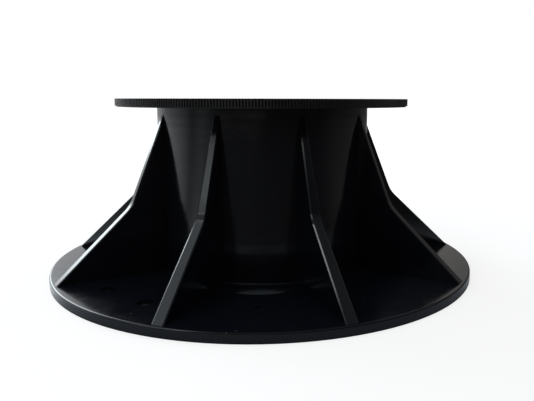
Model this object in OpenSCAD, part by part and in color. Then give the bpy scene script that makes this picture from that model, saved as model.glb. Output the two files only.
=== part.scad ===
// Screw-height pedestal for raised floors: a ribbed foot with a hollow stem,
// and a flat head on a screw tube that turns in the stem.
// All sizes are millimetres. The origin is the centre of the foot's underside, +Z is up.

/* [Foot plate] */
// Diameter of the round foot plate
base_d = 200; // [180:1:240]
// Thickness of the foot plate
plate_t = 3.9; // [3:0.1:6]
// Radius that rounds the plate's upper edge
plate_edge_r = 0.7; // [0.3:0.1:1.4]

/* [Stem] */
// Outside diameter of the hollow stem
stem_d = 101.5; // [96:0.5:110]
// Thickness of the stem's wall
stem_wall = 3; // [2.4:0.1:3.6]
// Height of the stem's rim above the ground
stem_h = 77.4; // [70:0.1:110]
// Thickness of the floor that closes the stem's foot
stem_floor_t = 3; // [2:0.1:4]
// Radius of the fillet between the stem and the plate
stem_fillet_r = 0.8; // [0.5:0.1:2]

/* [Ribs] */
// Number of ribs around the stem
rib_count = 9; // [6:1:12]
// Thickness of a rib where it meets the plate
rib_foot_t = 5; // [4:0.1:6]
// Thickness of a rib at its upper end
rib_top_t = 2.9; // [1.6:0.1:4]
// How far a rib's tip stays inside the plate's edge
rib_tip_inset = 1.4; // [1:0.1:4]
// How far the knee of a rib's edge stands out from the stem
rib_knee_out = 15.6; // [8:0.1:24]
// Height of that knee above the ground
rib_knee_h = 34.2; // [24:0.1:50]
// Radius that blends the two straight runs at the knee
rib_knee_r = 14; // [4:1:30]
// How far below the stem's rim the ribs run out
rib_top_drop = 3; // [2:0.1:8]
// Width of the bevel along both corners of a rib's outer edge
rib_bevel = 0.5; // [0.2:0.1:0.9]

/* [Plate openings] */
// Length of a drain opening, across the space between two ribs
drain_len = 28; // [16:1:30]
// Distance from the stem to the inner edge of a drain opening
drain_gap = 3.4; // [2:0.1:6]
// How far the outer edge of a drain opening bows outwards
drain_bow_out = 5.5; // [3:0.1:8]
// How far the inner edge of a drain opening bows inwards
drain_bow_in = 2.8; // [1:0.1:5]
// Diameter of the screw holes in the plate
screw_hole_d = 6; // [4:0.5:8]
// Diameter of the circle on which the screw holes lie
screw_circle_d = 165; // [150:1:180]
// Angle between the two screw holes of a pair
screw_pair_angle = 17; // [10:1:22]
// Diameter of the small nail holes in the plate
nail_hole_d = 3; // [2:0.5:4]
// Diameter of the circle on which the nail holes lie
nail_circle_d = 152; // [146:1:180]
// Diameter of the drain holes in the stem's floor
floor_hole_d = 8; // [5:0.5:12]
// Diameter of the circle on which they lie
floor_circle_d = 60; // [40:1:76]
// Number of drain holes in the stem's floor
floor_hole_count = 6; // [3:1:8]

/* [Head] */
// Diameter of the head over its teeth
head_d = 139; // [130:0.5:156]
// Thickness of the head's disc
head_t = 3.7; // [3:0.1:6]
// Number of fine teeth around the disc
tooth_count = 360; // [240:4:400]
// Depth of the teeth
tooth_depth = 0.6; // [0.4:0.05:0.9]
// Share of the tooth pitch that stays as a flat crest
tooth_crest = 0.45; // [0.3:0.05:0.6]
// Height of the plain step left below the teeth
tooth_step = 0.5; // [0.3:0.1:1]
// How far that step lies inside the roots of the teeth
step_inset = 0.1; // [0.05:0.05:0.5]
// Gap between the disc and the stem's rim when screwed right down
seat_gap = 0.2; // [0.2:0.1:1]
// Depth of the ring grooves in the disc's top
ring_groove_depth = 0.5; // [0.3:0.1:0.8]
// Width of the ring grooves
ring_groove_w = 1.6; // [1:0.1:2.4]
// Number of ring grooves
ring_groove_count = 5; // [3:1:6]
// Distance from one ring groove to the next
ring_groove_pitch = 7; // [6:0.5:8]
// Diameter of the joist screw holes in the disc
joist_hole_d = 5; // [3.5:0.5:6]
// Diameter of the circle on which the joist screw holes lie
joist_circle_d = 120; // [114:1:124]
// Number of joist screw holes in the disc
joist_hole_count = 4; // [2:1:8]

/* [Screw tube] */
// Radial room between the tube's core and the stem's bore, taken up by the thread
thread_room = 2.5; // [1.5:0.1:3.5]
// Thickness of the tube's wall
tube_wall = 3; // [2:0.1:4]
// Clear height left between the tube and the stem's floor
tube_floor_gap = 3; // [2:0.5:10]
// Number of stiffening webs under the disc
web_count = 6; // [4:1:8]
// Thickness of those webs
web_t = 2; // [1.5:0.1:3]
// Height of those webs
web_h = 12; // [6:1:20]
// Height of the hub in the middle of the webs
hub_h = 14; // [8:1:24]
// Diameter of that hub
hub_d = 22; // [18:1:30]
// Diameter of the hole through the hub
hub_hole_d = 10; // [6:1:14]

/* [Hidden] */
$fn = 96;

base_r = base_d / 2;
stem_r = stem_d / 2;
bore_r = stem_r - stem_wall;
disc_z = stem_h + seat_gap;
head_top = disc_z + head_t;
tube_r = bore_r - thread_room;
tube_bore_r = tube_r - tube_wall;
tube_z = stem_floor_t + tube_floor_gap;
sector = 360 / rib_count;
// Every third space between ribs has the same openings.
group_spaces = 3;
opening_groups = rib_count / group_spaces;
overshoot = 1;

black = "#17181a";
black_head = "#1b1c1e";

// ---- ribs ---------------------------------------------------------------

// Corners of a rib's outer edge, seen from the side as [radius, height].
rib_tip = [base_r - rib_tip_inset, plate_t];
rib_knee = [stem_r + rib_knee_out, rib_knee_h];
rib_end = [stem_r, stem_h - rib_top_drop];
// How deep a rib sinks into the plate and into the stem's wall
rib_sink = 0.5;
rib_low_dir = (rib_knee - rib_tip) / norm(rib_knee - rib_tip);
rib_high_dir = (rib_end - rib_knee) / norm(rib_end - rib_knee);
knee_turn = acos(rib_low_dir * rib_high_dir);
knee_back = rib_knee_r * tan(knee_turn / 2);
knee_start = rib_knee - knee_back * rib_low_dir;
knee_centre = knee_start - rib_knee_r * left_of(rib_low_dir);
knee_steps = 6;

function left_of(d) = [-d[1], d[0]];
function turned(d, a) = [d[0] * cos(a) - d[1] * sin(a), d[0] * sin(a) + d[1] * cos(a)];

// The outer edge as points, from inside the plate, round the knee and into the stem's wall.
rib_edge = concat(
    [rib_tip - rib_sink / rib_low_dir[1] * rib_low_dir],
    [for (i = [0:knee_steps])
        knee_centre + rib_knee_r * left_of(turned(rib_low_dir, -knee_turn * i / knee_steps))],
    [rib_end - rib_sink / rib_high_dir[0] * rib_high_dir]
);

// Half a rib's thickness at height z: it tapers evenly from the plate to its upper end.
function rib_half(z) =
    (rib_foot_t + (rib_top_t - rib_foot_t) * (z - plate_t) / (rib_end[1] - plate_t)) / 2;

// A block with this side view, wide enough to reach across the rib at any turn.
module rib_block(points) {
    rotate([90, 0, 0])
        linear_extrude(2 * base_r, center = true)
            polygon(points);
}

module rib() {
    back = stem_r - rib_sink;
    // Seen from above, each bevel crosses the outer edge at 45 degrees.
    bevel_back = back * cos(45) - rib_foot_t;
    bevel_edge = [for (p = rib_edge) [(p[0] + rib_half(p[1]) - rib_bevel) * cos(45), p[1]]];
    foot_z = rib_edge[0][1];
    head_z = rib_edge[len(rib_edge) - 1][1];
    intersection() {
        rib_block(concat([[back, foot_z]], rib_edge));
        intersection_for (side = [-1, 1])
            rotate(45 * side)
                rib_block(concat([[bevel_back, foot_z]], bevel_edge, [[bevel_back, head_z]]));
        rotate([90, 0, 90])
            linear_extrude(base_r)
                polygon([[-rib_half(0), 0], [rib_half(0), 0],
                    [rib_half(stem_h), stem_h], [-rib_half(stem_h), stem_h]]);
    }
}

// ---- foot ---------------------------------------------------------------

// Half section of the plate, the stem and its floor, as [radius, height].
module foot_section() {
    square([bore_r, stem_floor_t]);
    translate([bore_r, 0])
        square([stem_wall, stem_h]);
    translate([bore_r, 0])
        square([base_r - bore_r - plate_edge_r, plate_t]);
    translate([bore_r, 0])
        square([base_r - bore_r, plate_t - plate_edge_r]);
    translate([base_r - plate_edge_r, plate_t - plate_edge_r])
        circle(r = plate_edge_r);
    translate([stem_r, plate_t])
        difference() {
            square(stem_fillet_r);
            translate([stem_fillet_r, stem_fillet_r])
                circle(r = stem_fillet_r);
        }
}

// A lens between two arcs of the same chord, lying across the -Y direction.
module drain_opening() {
    half = drain_len / 2;
    r_out = (half * half + drain_bow_out * drain_bow_out) / (2 * drain_bow_out);
    r_in = (half * half + drain_bow_in * drain_bow_in) / (2 * drain_bow_in);
    inner = stem_r + drain_gap;
    outer = inner + drain_bow_in + drain_bow_out;
    translate([0, 0, -overshoot])
        intersection() {
            translate([0, r_out - outer, 0])
                cylinder(r = r_out, h = plate_t + 2 * overshoot);
            translate([0, -r_in - inner, 0])
                cylinder(r = r_in, h = plate_t + 2 * overshoot);
        }
}

// A straight hole through the plate at distance r from the middle, a degrees from -Y.
module plate_hole(r, a, d) {
    rotate(a)
        translate([0, -r, -overshoot])
            cylinder(d = d, h = plate_t + 2 * overshoot);
}

module base() {
    color(black)
        difference() {
            union() {
                rotate_extrude()
                    foot_section();
                for (i = [0:rib_count - 1])
                    rotate(90 + sector * i)
                        rib();
            }
            for (g = [0:opening_groups - 1])
                rotate(group_spaces * sector * g) {
                    drain_opening();
                    plate_hole(nail_circle_d / 2, 0, nail_hole_d);
                    for (side = [-1, 1])
                        plate_hole(screw_circle_d / 2, side * screw_pair_angle / 2 - sector,
                            screw_hole_d);
                }
            for (i = [0:floor_hole_count - 1])
                plate_hole(floor_circle_d / 2, 360 / floor_hole_count * i, floor_hole_d);
        }
}

// ---- head ---------------------------------------------------------------

// Outline of the toothed rim: a flat crest, then a V-shaped notch.
module toothed_disc() {
    pitch = 360 / tooth_count;
    crest = head_d / 2;
    root = crest - tooth_depth;
    polygon([for (i = [0:tooth_count - 1])
        for (p = [[0, crest], [tooth_crest, crest], [(1 + tooth_crest) / 2, root]])
            p[1] * [cos(pitch * (i + p[0])), sin(pitch * (i + p[0]))]]);
}

module screw_head() {
    hub_z = disc_z - hub_h;
    // The webs run from inside the hub to inside the tube's wall.
    web_sink = (hub_d - hub_hole_d) / 4;
    web_reach = tube_r - tube_wall / 2 - (hub_d / 2 - web_sink);
    color(black_head)
        difference() {
            union() {
                translate([0, 0, disc_z + tooth_step])
                    linear_extrude(head_t - tooth_step)
                        toothed_disc();
                translate([0, 0, disc_z])
                    cylinder(r = head_d / 2 - tooth_depth - step_inset, h = 2 * tooth_step);
                difference() {
                    translate([0, 0, tube_z])
                        cylinder(r = tube_r, h = disc_z - tube_z + overshoot);
                    translate([0, 0, tube_z - overshoot])
                        cylinder(r = tube_bore_r, h = disc_z - tube_z + overshoot);
                }
                for (i = [0:web_count - 1])
                    rotate(360 / web_count * i)
                        translate([hub_d / 2 - web_sink, -web_t / 2, disc_z - web_h])
                            cube([web_reach, web_t, web_h + overshoot]);
                translate([0, 0, hub_z])
                    cylinder(d = hub_d, h = hub_h + overshoot);
            }
            translate([0, 0, hub_z - overshoot])
                cylinder(d = hub_hole_d, h = hub_h + head_t + 2 * overshoot);
            for (i = [0:ring_groove_count - 1])
                translate([0, 0, head_top - ring_groove_depth])
                    difference() {
                        r = joist_circle_d / 2 - joist_hole_d - ring_groove_pitch * i;
                        cylinder(r = r, h = ring_groove_depth + overshoot);
                        translate([0, 0, -overshoot])
                            cylinder(r = r - ring_groove_w, h = ring_groove_depth + 3 * overshoot);
                    }
            for (i = [0:joist_hole_count - 1])
                rotate(360 / joist_hole_count * (i + 0.5))
                    translate([joist_circle_d / 2, 0, disc_z - overshoot])
                        cylinder(d = joist_hole_d, h = head_t + 2 * overshoot);
        }
}

base();
screw_head();
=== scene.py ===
# %% [markdown]
# A screw pedestal carries one corner of a raised floor. It is two mouldings in
# black plastic: a ribbed foot with a hollow stem, and a flat toothed head on a
# screw tube that turns in the stem. Their solids come in ready made and stay as
# they are. This lesson adds what solids don't say: the thread on the tube, the
# skin of the plastic, and a plain studio around it.

# %% Load the solids
import math

import bpy
from mathutils import Matrix, Vector


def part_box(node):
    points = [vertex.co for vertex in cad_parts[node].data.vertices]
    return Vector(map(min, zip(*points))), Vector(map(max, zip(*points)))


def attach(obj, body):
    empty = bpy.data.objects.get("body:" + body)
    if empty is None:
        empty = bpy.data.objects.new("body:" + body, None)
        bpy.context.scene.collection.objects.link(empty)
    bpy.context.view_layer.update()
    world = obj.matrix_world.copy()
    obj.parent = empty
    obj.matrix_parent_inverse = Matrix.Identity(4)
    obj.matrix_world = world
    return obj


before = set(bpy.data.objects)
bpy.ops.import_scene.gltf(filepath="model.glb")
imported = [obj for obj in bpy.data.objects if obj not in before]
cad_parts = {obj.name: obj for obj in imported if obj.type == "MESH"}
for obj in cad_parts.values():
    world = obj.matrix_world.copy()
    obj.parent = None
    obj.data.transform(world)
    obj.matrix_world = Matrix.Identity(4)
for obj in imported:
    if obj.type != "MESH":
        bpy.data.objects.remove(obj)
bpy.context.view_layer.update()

MM = 0.001
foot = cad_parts["base"]
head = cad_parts["screw_head"]
for name, node in sorted(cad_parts.items()):
    low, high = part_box(name)
    print(name, [round(side / MM, 1) for side in high - low], "mm,", len(node.data.polygons), "faces")

# %% [markdown]
# Sizes are read off the solids, so that every added piece follows them. A
# moulding that turns on an axis is described by its radius at a height, and one
# helper measures that between two heights.

# %% Measure the stem and the tube


def radii_between(node, z_low, z_high):
    """Smallest and largest distance from the axis of the points in a band of heights."""
    found = [math.hypot(v.co.x, v.co.y) for v in node.data.vertices if z_low <= v.co.z <= z_high]
    return min(found), max(found)


foot_top_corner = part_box("base")[1]
foot_r = foot_top_corner.x
stem_top = foot_top_corner.z
bore_r, stem_r = radii_between(foot, stem_top - MM, stem_top)
tube_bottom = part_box("screw_head")[0].z
tube_bore_r, tube_r = radii_between(head, tube_bottom, tube_bottom + MM)
print("foot radius", round(foot_r / MM, 1), "stem", round(bore_r / MM, 1), "to", round(stem_r / MM, 1),
      "tube", round(tube_bore_r / MM, 1), "to", round(tube_r / MM, 1), "mm")

# %% [markdown]
# The camera stands at the height of the head and looks slightly down, so the
# disc is seen edge on and the foot opens out below it. Its place is given as a
# point, and its turn by a heading, a dip and a slight tilt. Operators act on all
# that is selected, and the solids arrive selected, so a small helper that
# deselects everything comes before each new object.

# %% Set up the camera
CAMERA_PLACE = (9.68 * MM, -279.72 * MM, 80.8 * MM)
HEADING = math.radians(1.52)
DIP = math.radians(7.11)
TILT = math.radians(0.12)
SENSOR_WIDTH = 36
LENS = 38.09
SHIFT = (-0.0581, -0.0562)
NEAREST_SEEN = 10 * MM


def look(heading, dip, tilt):
    """Turn of a camera that faces +Y when all three are zero."""
    return (Matrix.Rotation(-heading, 3, "Z") @ Matrix.Rotation(math.pi / 2 - dip, 3, "X")
            @ Matrix.Rotation(tilt, 3, "Z"))


def deselect_all():
    bpy.ops.object.select_all(action="DESELECT")
    bpy.context.view_layer.objects.active = None


deselect_all()
bpy.ops.object.camera_add(location=CAMERA_PLACE)
camera = bpy.context.object
camera.name = "front_camera"
camera.rotation_euler = look(HEADING, DIP, TILT).to_euler()
camera.data.sensor_width = SENSOR_WIDTH
camera.data.lens = LENS
camera.data.shift_x, camera.data.shift_y = SHIFT
camera.data.clip_start = NEAREST_SEEN
bpy.context.scene.camera = camera
bpy.context.scene.view_settings.view_transform = "Standard"
print("camera", [round(v, 3) for v in camera.location], "lens", LENS)

# %% [markdown]
# The screw tube carries a coarse male thread, one ridge that winds up the tube.
# It could be carved from the tube, but the tube is a finished solid. A ridge of
# its own is simpler: one trapezium section, swept by the Screw modifier. Its
# root sinks a little into the tube, and its crest stays inside the stem's bore.

# %% Thread: the section
THREAD_PITCH = 8 * MM
THREAD_ROOT_W = 4.4 * MM
CREST_SHARE = 0.42
THREAD_SINK = 0.35 * MM
CREST_GAP = 0.35 * MM
THREAD_START_Z = tube_bottom + THREAD_PITCH / 2
crest_r = bore_r - CREST_GAP
section_mid = (tube_r - THREAD_SINK + crest_r) / 2

deselect_all()
bpy.ops.mesh.primitive_plane_add(size=1, rotation=(math.pi / 2, 0, 0),
                                 location=(section_mid, 0, THREAD_START_Z))
thread = bpy.context.object
thread.name = "tube_thread"
thread.scale = (crest_r - tube_r + THREAD_SINK, THREAD_ROOT_W, 1)
bpy.ops.object.transform_apply(location=True, rotation=True, scale=True)
bpy.ops.object.mode_set(mode="EDIT")
bpy.ops.mesh.select_all(action="DESELECT")
bpy.ops.object.mode_set(mode="OBJECT")
for v in thread.data.vertices:
    v.select = v.co.x > section_mid
bpy.ops.object.mode_set(mode="EDIT")
bpy.ops.mesh.select_mode(type="VERT")
bpy.ops.transform.resize(value=(1, 1, CREST_SHARE), center_override=(crest_r, 0, THREAD_START_Z))
bpy.ops.mesh.select_all(action="SELECT")
bpy.ops.mesh.delete(type="ONLY_FACE")
bpy.ops.object.mode_set(mode="OBJECT")
section_points = len(thread.data.vertices)
print("thread section", [[round(c / MM, 2) for c in v.co] for v in thread.data.vertices])

# %% [markdown]
# The sweep makes one ring of four points per step, in order up the helix. A ridge
# that rises as it goes anticlockwise, seen from above, is a right-hand thread.

# %% Thread: the sweep
THREAD_TURNS = 7
STEPS_PER_TURN = 72

sweep = thread.modifiers.new("wind", "SCREW")
sweep.axis = "Z"
sweep.screw_offset = THREAD_PITCH
sweep.iterations = THREAD_TURNS
sweep.steps = sweep.render_steps = STEPS_PER_TURN
sweep.use_merge_vertices = False
bpy.ops.object.modifier_apply(modifier="wind")
rings = len(thread.data.vertices) // section_points
print("thread", rings, "rings")

# %% [markdown]
# A moulded thread doesn't stop dead. The rings near both ends are drawn in
# towards the tube, down to a sliver that keeps the section open, and then the
# two ends are filled. So the ridge is one closed body, and it rides on the head.

# %% Thread: the run-outs
RUN_OUT_STEPS = 16
SLIVER = 0.03
SMOOTH_BELOW = math.radians(35)

for v in thread.data.vertices:
    ring = v.index // section_points
    share = min(1, ring / RUN_OUT_STEPS, (rings - 1 - ring) / RUN_OUT_STEPS)
    radius = math.hypot(v.co.x, v.co.y)
    if radius > tube_r:
        drawn_in = tube_r + (radius - tube_r) * max(SLIVER, share)
        v.co.x *= drawn_in / radius
        v.co.y *= drawn_in / radius
bpy.ops.object.mode_set(mode="EDIT")
bpy.ops.mesh.select_all(action="SELECT")
bpy.ops.mesh.fill_holes(sides=section_points)
bpy.ops.mesh.select_all(action="SELECT")
bpy.ops.mesh.normals_make_consistent(inside=False)
bpy.ops.object.mode_set(mode="OBJECT")
bpy.ops.object.shade_smooth_by_angle(angle=SMOOTH_BELOW)
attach(thread, "head")
thread_z = [v.co.z for v in thread.data.vertices]
print("thread", len(thread.data.polygons), "faces, z",
      round(min(thread_z) / MM, 1), "to", round(max(thread_z) / MM, 1), "mm")

# %% [markdown]
# All the materials here are nodes, and a node tree written out line by line is
# hard to follow. A small class gives the common nodes short names: products,
# layers, bands that fade from one level to another, mixed colours and noise.

# %% Helpers for materials


class Nodes:
    """A short way to add nodes to one material and join them."""

    def __init__(self, tree):
        self.tree = tree

    def add(self, kind, inputs=None, **settings):
        node = self.tree.nodes.new(kind)
        for key, value in settings.items():
            setattr(node, key, value)
        for key, value in (inputs or {}).items():
            self.put(node.inputs[key], value)
        return node

    def put(self, socket, value):
        if isinstance(value, bpy.types.NodeSocket):
            self.tree.links.new(value, socket)
        else:
            socket.default_value = value

    def maths(self, operation, *values):
        return self.add("ShaderNodeMath", dict(enumerate(values)), operation=operation).outputs[0]

    def product(self, first, *others):
        for other in others:
            first = self.maths("MULTIPLY", first, other)
        return first

    def layered(self, first, *layers):
        """A first pattern with others added to it, each times its share."""
        for pattern, share in layers:
            first = self.maths("ADD", first, self.maths("MULTIPLY", pattern, share))
        return first

    def band(self, value, start, end, level_at_start=0.0, level_at_end=1.0, smooth=True):
        """Fade from one level to another as the value goes from start to end."""
        node = self.add("ShaderNodeMapRange",
                        {"Value": value, "From Min": start, "From Max": end,
                         "To Min": level_at_start, "To Max": level_at_end},
                        interpolation_type="SMOOTHSTEP" if smooth else "LINEAR")
        return node.outputs["Result"]

    def mixed(self, factor, a, b):
        node = self.add("ShaderNodeMix", {"Factor": factor, "A": a, "B": b}, data_type="RGBA")
        return node.outputs["Result"]

    def noise(self, where, scale, detail, rough=0.5):
        node = self.add("ShaderNodeTexNoise", {"Vector": where, "Scale": scale,
                                               "Detail": detail, "Roughness": rough})
        return node.outputs["Fac"]

    def axes(self, vector):
        return self.add("ShaderNodeSeparateXYZ", {"Vector": vector}).outputs

    def length(self, vector):
        return self.add("ShaderNodeVectorMath", {0: vector}, operation="LENGTH").outputs["Value"]


def new_material(name):
    material = bpy.data.materials.new(name)
    material.use_nodes = True
    material.node_tree.nodes.clear()
    return material, Nodes(material.node_tree)


print("helpers", [name for name in vars(Nodes) if not name.startswith("_")])

# %% [markdown]
# Moulded black plastic is nearly black underneath, and nearly all that the eye
# reads is its shine. So the colour is simple, and the work goes into the
# roughness and the bump. Patterns read Object coordinates, which are metres here,
# so a Noise scale of 120 gives blotches of about eight millimetres.
#
# Handling leaves thin scratches. Each set is a noise squeezed across the run of
# its lines, and cut off so high that only its peaks stay.

# %% Plastic: scratches
SCRATCH_SETS = (((0.3, 0.2, 0.6), (1, 1, 14), 240, 0.72),
                ((1.2, -0.5, 0.2), (1, 12, 1), 300, 0.73))
SCRATCH_FADE = 0.06


def scratches(n, here):
    """Two sets of thin lines, each with its own turn, squeeze, scale and cut-off."""
    sets = []
    for turn, squeeze, scale, cut_off in SCRATCH_SETS:
        squeezed = n.add("ShaderNodeMapping", {"Vector": here, "Rotation": turn, "Scale": squeeze})
        peaks = n.noise(squeezed.outputs["Vector"], scale, detail=1)
        sets.append(n.band(peaks, cut_off, cut_off + SCRATCH_FADE))
    return n.maths("MAXIMUM", *sets)


print("scratches", len(SCRATCH_SETS), "sets")

# %% [markdown]
# Dust lies as single specks, most of it on what faces up. A Voronoi pattern has
# one round dot and one random colour per cell, three millimetres apart here, and
# only the few cells whose draw is high enough get a speck.

# %% Plastic: dust
DUST_CELL_SCALE = 330
SPECK_BAND = (0.16, 0.07)
SETTLING_BAND = (0.3, 0.9, 0.15, 1.0)
DRAW_FADE = 0.02


def dust(n, here, upward, lowest_draw):
    """Specks in the cells that draw a number above the lowest one, more on upward faces."""
    cells = n.add("ShaderNodeTexVoronoi", {"Vector": here, "Scale": DUST_CELL_SCALE, "Randomness": 1.0})
    speck = n.band(cells.outputs["Distance"], *SPECK_BAND)
    draw = n.axes(cells.outputs["Color"])["X"]
    drawn = n.band(draw, lowest_draw, lowest_draw + DRAW_FADE)
    return n.product(speck, n.band(upward, *SETTLING_BAND), drawn)


print("dust cells", round(1 / DUST_CELL_SCALE / MM, 1), "mm apart")

# %% [markdown]
# The thread inside the stem makes its wall thicker and thinner, and the plastic
# sinks a little where it is thick. Outside, that shows as faint rings, two for
# each turn. They stay on the stem's own face and fade out towards the foot.

# %% Plastic: sink rings on the stem
RINGS_PER_TURN = 2
OFF_THE_WALL = (0.4 * MM, 0.1 * MM)
RINGS_FADE_IN = (8 * MM, 20 * MM)


def sink_rings(n, here, wall_r):
    height = n.axes(here)["Z"]
    flattened = n.add("ShaderNodeVectorMath", {0: here, 1: (1, 1, 0)}, operation="MULTIPLY")
    from_axis = n.length(flattened.outputs["Vector"])
    on_wall = n.band(from_axis, wall_r + OFF_THE_WALL[0], wall_r + OFF_THE_WALL[1])
    above_foot = n.band(height, *RINGS_FADE_IN)
    wave = n.maths("SINE", n.maths("MULTIPLY", height, 2 * math.pi * RINGS_PER_TURN / THREAD_PITCH))
    return n.product(wave, on_wall, above_foot)


print("sink rings", round(THREAD_PITCH / RINGS_PER_TURN / MM, 1), "mm apart")

# %% [markdown]
# The same skin serves both mouldings, with values that differ. A fine grain comes
# from the mould, a mottle stirs the colour and the gloss, and a slow waviness
# bends what the faces mirror. Faces that point straight up get a little painted
# sky light: their colour is made lighter and bluish.
# Heights are in millimetres, because the bump's distance is one millimetre.

# %% Plastic
GRAIN_SCALE = 1600
MOTTLE_SCALE = 120
WAVE_SCALE = 22
GRAIN_HEIGHT = 0.004
WAVE_HEIGHT = 0.15
SCRATCH_DEPTH = 0.004
RING_HEIGHT = 0.004
TONE_BAND = (0.35, 0.65, 0.0, 0.5)
SCRATCH_TONE = 0.5
GLOSS_SPREAD = (0.3, 0.7)
SCRATCH_ROUGHNESS = 0.1
# Painted light from above: how far up a face must point, and the bluish colour it is lightened towards.
PAINTED_SKY_LIGHT_BAND = (0.7, 1.0, 0.0, 0.18)
PAINTED_SKY_LIGHT = (0.013, 0.017, 0.028, 1)
DUST_COVER = 0.4
DUST_GREY = (0.20, 0.20, 0.21, 1)
PLASTIC_IOR = 1.49


def black_plastic(name, dark, pale, roughness, lowest_draw, ringed_r=None):
    """Black moulded plastic between two blacks and between two roughnesses."""
    material, n = new_material(name)
    here = n.add("ShaderNodeTexCoord").outputs["Object"]
    upward = n.axes(n.add("ShaderNodeNewGeometry").outputs["Normal"])["Z"]
    grain = n.noise(here, GRAIN_SCALE, detail=2)
    mottle = n.noise(here, MOTTLE_SCALE, detail=3, rough=0.6)
    waves = n.noise(here, WAVE_SCALE, detail=1)
    marks = scratches(n, here)

    tone = n.layered(n.band(mottle, *TONE_BAND), (marks, SCRATCH_TONE))
    colour = n.mixed(tone, (*dark, 1), (*pale, 1))
    # Painted sky light: faces that point straight up are lightened and made bluish.
    colour = n.mixed(n.band(upward, *PAINTED_SKY_LIGHT_BAND), colour, PAINTED_SKY_LIGHT)
    cover = n.maths("MULTIPLY", dust(n, here, upward, lowest_draw), DUST_COVER)
    colour = n.mixed(cover, colour, DUST_GREY)
    rough = n.layered(n.band(mottle, *GLOSS_SPREAD, *roughness), (marks, SCRATCH_ROUGHNESS))

    height = n.layered(n.maths("MULTIPLY", grain, GRAIN_HEIGHT), (waves, WAVE_HEIGHT),
                       (marks, -SCRATCH_DEPTH))
    if ringed_r:
        height = n.layered(height, (sink_rings(n, here, ringed_r), RING_HEIGHT))
    bump = n.add("ShaderNodeBump", {"Height": height, "Strength": 1.0, "Distance": MM})

    skin = n.add("ShaderNodeBsdfPrincipled",
                 {"Base Color": colour, "Roughness": rough,
                  "Normal": bump.outputs["Normal"], "IOR": PLASTIC_IOR})
    n.add("ShaderNodeOutputMaterial", {"Surface": skin.outputs[0]})
    return material


foot_plastic = black_plastic("foot_black_plastic", (0.0030, 0.0036, 0.0054), (0.0048, 0.0055, 0.0078),
                             roughness=(0.12, 0.18), lowest_draw=0.93, ringed_r=stem_r)
head_plastic = black_plastic("head_black_plastic", (0.0150, 0.0155, 0.0165), (0.0190, 0.0195, 0.0205),
                             roughness=(0.20, 0.26), lowest_draw=0.96)
print("plastics", [(m.name, len(m.node_tree.nodes)) for m in (foot_plastic, head_plastic)])

# %% [markdown]
# The foot is the bluer and glossier black. The thread is one moulding with the
# head, so it wears the head's plastic.

# %% Dress the pieces


def dress(obj, material):
    obj.data.materials.clear()
    obj.data.materials.append(material)


dress(foot, foot_plastic)
dress(head, head_plastic)
dress(thread, head_plastic)
print("dressed", foot.name, head.name, thread.name)

# %% [markdown]
# Shiny black plastic shows the room more than itself. The room has a bright
# backdrop behind on the left that fades as it comes round, a narrow pale strip
# ahead on the left, dim walls in front and on the right, and a wider strip behind
# on the right. Its levels are laid on a compass round the object, and the floor
# and the world both read them, but only for mirrored rays.

# %% The room round the object
# Compass: 0 is behind, 0.25 is left, 0.5 is in front and 0.75 is right.
ROOM = ((0.00, 0.60), (0.055, 0.92), (0.10, 1.50), (0.14, 1.50), (0.17, 1.00),
        (0.235, 0.85), (0.26, 0.62), (0.29, 0.22), (0.325, 0.52), (0.36, 0.15),
        (0.40, 0.06), (0.50, 0.030), (0.67, 0.025), (0.72, 0.10), (0.87, 0.13),
        (0.925, 0.11), (0.955, 0.36), (0.975, 0.36), (1.00, 0.60))
LEFT_ENDS = 0.45
LEFT_TINT, RIGHT_TINT = 1.03, 0.97


def room_round(n, place):
    """Level of the room in the direction of a place, seen from the middle of the floor."""
    axes = n.axes(place)
    turn = n.maths("ARCTAN2", axes["X"], n.maths("MULTIPLY", axes["Y"], -1.0))
    ramp = n.add("ShaderNodeValToRGB", {"Fac": n.band(turn, -math.pi, math.pi, smooth=False)})
    stops = ramp.color_ramp.elements
    while len(stops) < len(ROOM):
        stops.new(0.5)
    for stop, (position, level) in zip(stops, ROOM):
        stop.position = position
        bluish = LEFT_TINT if position < LEFT_ENDS else RIGHT_TINT
        stop.color = (level / bluish, level, level * bluish, 1)
    return ramp.outputs["Color"]


def mirrored_ray(n, rays):
    return n.maths("MAXIMUM", rays["Is Glossy Ray"], rays["Is Transmission Ray"])


print("room", len(ROOM), "levels")

# %% [markdown]
# The pedestal stands on a plain pale floor. Its sheet lies a hair below the foot,
# because two faces at the same height flicker where both are seen.

# %% Floor: the sheet
FLOOR_SIDE = 12
FLOOR_Z = -0.05 * MM

deselect_all()
bpy.ops.mesh.primitive_plane_add(size=FLOOR_SIDE, location=(0, 0, FLOOR_Z))
floor = bpy.context.object
floor.name = "floor"
print("floor", [round(side, 2) for side in floor.dimensions], "m")

# %% [markdown]
# The floor is matt and takes the foot's soft shadow. Seen by the camera it adds a
# little white of its own, more with distance, so that it runs into the white
# background with no horizon. Bands on the floor are in foot radii: from one
# distance to another, and then from one level to another.

# %% Floor: as the camera sees it
WHITE_BAND = (1.5, 8, 0.75, 1.0)

floor_paint, n = new_material("pale_floor")
spot = n.add("ShaderNodeTexCoord").outputs["Object"]
away = n.maths("DIVIDE", n.length(spot), foot_r)
rays = n.add("ShaderNodeLightPath").outputs
white_level = n.product(rays["Is Camera Ray"], n.band(away, *WHITE_BAND))
white = n.add("ShaderNodeEmission", {"Color": (1, 1, 1, 1), "Strength": white_level})
print("floor white from", WHITE_BAND[2], "to", WHITE_BAND[3])
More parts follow.
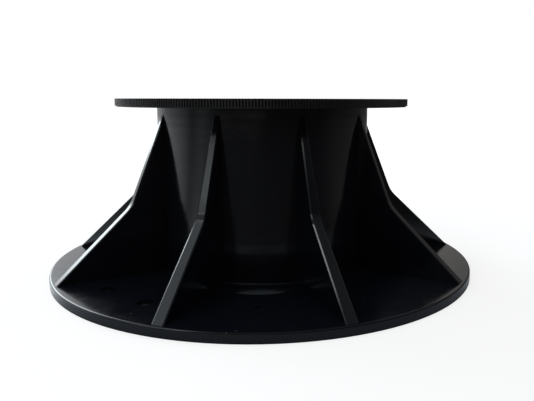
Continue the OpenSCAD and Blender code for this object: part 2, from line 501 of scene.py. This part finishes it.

# %% [markdown]
# In the shiny plastic the same floor would mirror as one bright grey sheet. So
# for mirrored rays its paint is dark, apart from a ring of bluish painted shade
# close round the foot, and it glows with the levels of the room instead, a
# painted light that weakens far out. A little more painted light glows from
# under the foot, for the openings in its plate, and from beside it, mostly on
# the left, for the two ends of its rim.

# %% Floor: as the plastic mirrors it
FLOOR_TONE = 0.4
MIRRORED_TONE = 0.06
NEAR_BLUE_SHADE = (0.36, 0.41, 0.48, 1)
NEAR_BLUE_SHADE_BAND = (1.35, 1.08)
ROOM_BANDS = ((1, 6, 1.15, 0.85), (10, 30, 1.0, 0.35), (0.96, 1.0))
UNDER_BAND = (0.98, 0.90, 0.0, 0.32)
LEFT_BAND = (-0.85, -1.0, 0.0, 0.45)
RIGHT_BAND = (0.85, 1.0, 0.0, 0.12)
BESIDE_BAND = (1.6, 1.2)
UNDER_COLOUR = (0.8, 0.95, 1.0, 1)

mirror = mirrored_ray(n, rays)
paint = n.maths("SUBTRACT", FLOOR_TONE, n.maths("MULTIPLY", mirror, FLOOR_TONE - MIRRORED_TONE))
# Painted shade: close round the foot, the mirrored floor turns bluish, like a floor in daylight shade.
paint = n.mixed(n.product(mirror, n.band(away, *NEAR_BLUE_SHADE_BAND)), paint, NEAR_BLUE_SHADE)
matt = n.add("ShaderNodeBsdfDiffuse", {"Color": paint})
# Painted light: for mirrored rays the floor glows with the room's levels, and a little more under and
# beside the foot.
reach = n.product(mirror, *(n.band(away, *room_band) for room_band in ROOM_BANDS))
room = n.add("ShaderNodeEmission", {"Color": room_round(n, spot), "Strength": reach})
sideways = n.maths("DIVIDE", n.axes(spot)["X"], foot_r)
ends = n.maths("ADD", n.band(sideways, *LEFT_BAND), n.band(sideways, *RIGHT_BAND))
close = n.layered(n.band(away, *UNDER_BAND), (ends, n.band(away, *BESIDE_BAND)))
under = n.add("ShaderNodeEmission", {"Color": UNDER_COLOUR, "Strength": n.product(mirror, close)})
print("mirrored floor", len(ROOM_BANDS), "bands of room light")

# %% [markdown]
# The four parts are added up. From below the floor is see-through, so that the
# underside of the foot can be looked at.

# %% Floor: put together
shown = matt
for part in (white, room, under):
    shown = n.add("ShaderNodeAddShader", {0: shown.outputs[0], 1: part.outputs[0]})
see_through = n.add("ShaderNodeBsdfTransparent")
from_below = n.add("ShaderNodeNewGeometry").outputs["Backfacing"]
both = n.add("ShaderNodeMixShader", {0: from_below, 1: shown.outputs[0], 2: see_through.outputs[0]})
n.add("ShaderNodeOutputMaterial", {"Surface": both.outputs[0]})
dress(floor, floor_paint)
print("floor", len(floor_paint.node_tree.nodes), "nodes")

# %% [markdown]
# Above the floor the camera sees plain white all round, and matt surfaces get an
# even grey light. Mirrored rays see the room, dimmer near the floor and running
# into a dim ceiling. Low ahead, a little to the left, it has a faint opening that
# shows in the toothed edge and down the top of the stem. Heights are those of a
# direction one long: 0 is level and 1 is straight up.

# %% World
WALL_BAND = (0.0, 0.2, 0.5, 1.0)
OPENING_WAY = (-0.34, -0.94, 0.0)
OPENING_BAND = (0.84, 0.96, 0.0, 0.75)
OPENING_SILL = (0.01, 0.05)
OPENING_TOP = (0.17, 0.09)
CEILING_BAND = (0.35, 0.85)
CEILING = (0.16, 0.17, 0.18, 1)
EVEN_LIGHT = (0.42, 0.42, 0.43, 1)

world = bpy.data.worlds.new("studio")
bpy.context.scene.world = world
world.use_nodes = True
world.node_tree.nodes.clear()
n = Nodes(world.node_tree)
toward = n.add("ShaderNodeTexCoord").outputs["Generated"]
height = n.axes(toward)["Z"]
walls = n.add("ShaderNodeVectorMath",
              {0: room_round(n, toward), "Scale": n.band(height, *WALL_BAND)}, operation="SCALE")
ahead = n.add("ShaderNodeVectorMath", {0: toward, 1: OPENING_WAY}, operation="DOT_PRODUCT")
opening = n.product(n.band(ahead.outputs["Value"], *OPENING_BAND),
                    n.band(height, *OPENING_SILL), n.band(height, *OPENING_TOP))
walls = n.add("ShaderNodeVectorMath", {0: walls.outputs["Vector"], 1: opening}, operation="ADD")
mirrored_room = n.mixed(n.band(height, *CEILING_BAND), walls.outputs["Vector"], CEILING)
rays = n.add("ShaderNodeLightPath").outputs
lit = n.mixed(mirrored_ray(n, rays), EVEN_LIGHT, mirrored_room)
seen = n.mixed(rays["Is Camera Ray"], lit, (1, 1, 1, 1))
sky = n.add("ShaderNodeBackground", {"Color": seen, "Strength": 1.0})
n.add("ShaderNodeOutputWorld", {"Surface": sky.outputs[0]})
print("world", world.name, len(world.node_tree.nodes), "nodes")

# %% [markdown]
# Five soft boxes draw the bright lines down the ribs. On shiny black plastic a
# lamp shows only where a face mirrors it towards the eye, so each one stands out
# in the direction that its face mirrors. All of them are on the left and a
# little cool, and all aim at the middle of the pedestal.

# %% Lamps
MIDDLE = (0, 0, 40 * MM)
COOL = (0.88, 0.97, 1.0)
COOLER = (0.84, 0.94, 1.0)
# Name, place, width, height, power and colour.
LAMPS = (
    # Behind on the left: the outer left rib's edge.
    ("window_lamp", (-0.973, 0.973, 0.638), 0.9, 0.83, 9.5, COOL),
    # High on the left: the lower run of the front left rib's edge.
    ("panel_lamp", (-0.79, -0.083, 1.217), 0.8, 0.8, 1.8, COOLER),
    # Lower and further forward: the same edge's upper run.
    ("side_lamp", (-0.982, -0.768, 0.72), 0.5, 0.21, 0.5, COOL),
    # High and forward: the bevel down the front right rib's lower run.
    ("edge_lamp", (-0.712, -0.49, 1.167), 0.22, 0.22, 0.76, COOL),
    # Between them and faint: that edge's knee, and the outer left rib's near bevel.
    ("knee_lamp", (-1.022, -0.509, 0.885), 0.28, 0.19, 0.16, COOL),
)


def soft_box(name, place, width, height, power, colour):
    deselect_all()
    bpy.ops.object.light_add(type="AREA", location=place)
    lamp = bpy.context.object
    lamp.name = name
    lamp.rotation_euler = (Vector(MIDDLE) - Vector(place)).to_track_quat("-Z", "Y").to_euler()
    lamp.data.shape = "RECTANGLE"
    lamp.data.size, lamp.data.size_y = width, height
    lamp.data.energy = power
    lamp.data.color = colour


for lamp_values in LAMPS:
    soft_box(*lamp_values)

# %% [markdown]
# Last, nothing is left selected. The thread stays inside the stem, so it adds
# nothing to the box of the solids.

# %% Finish
deselect_all()
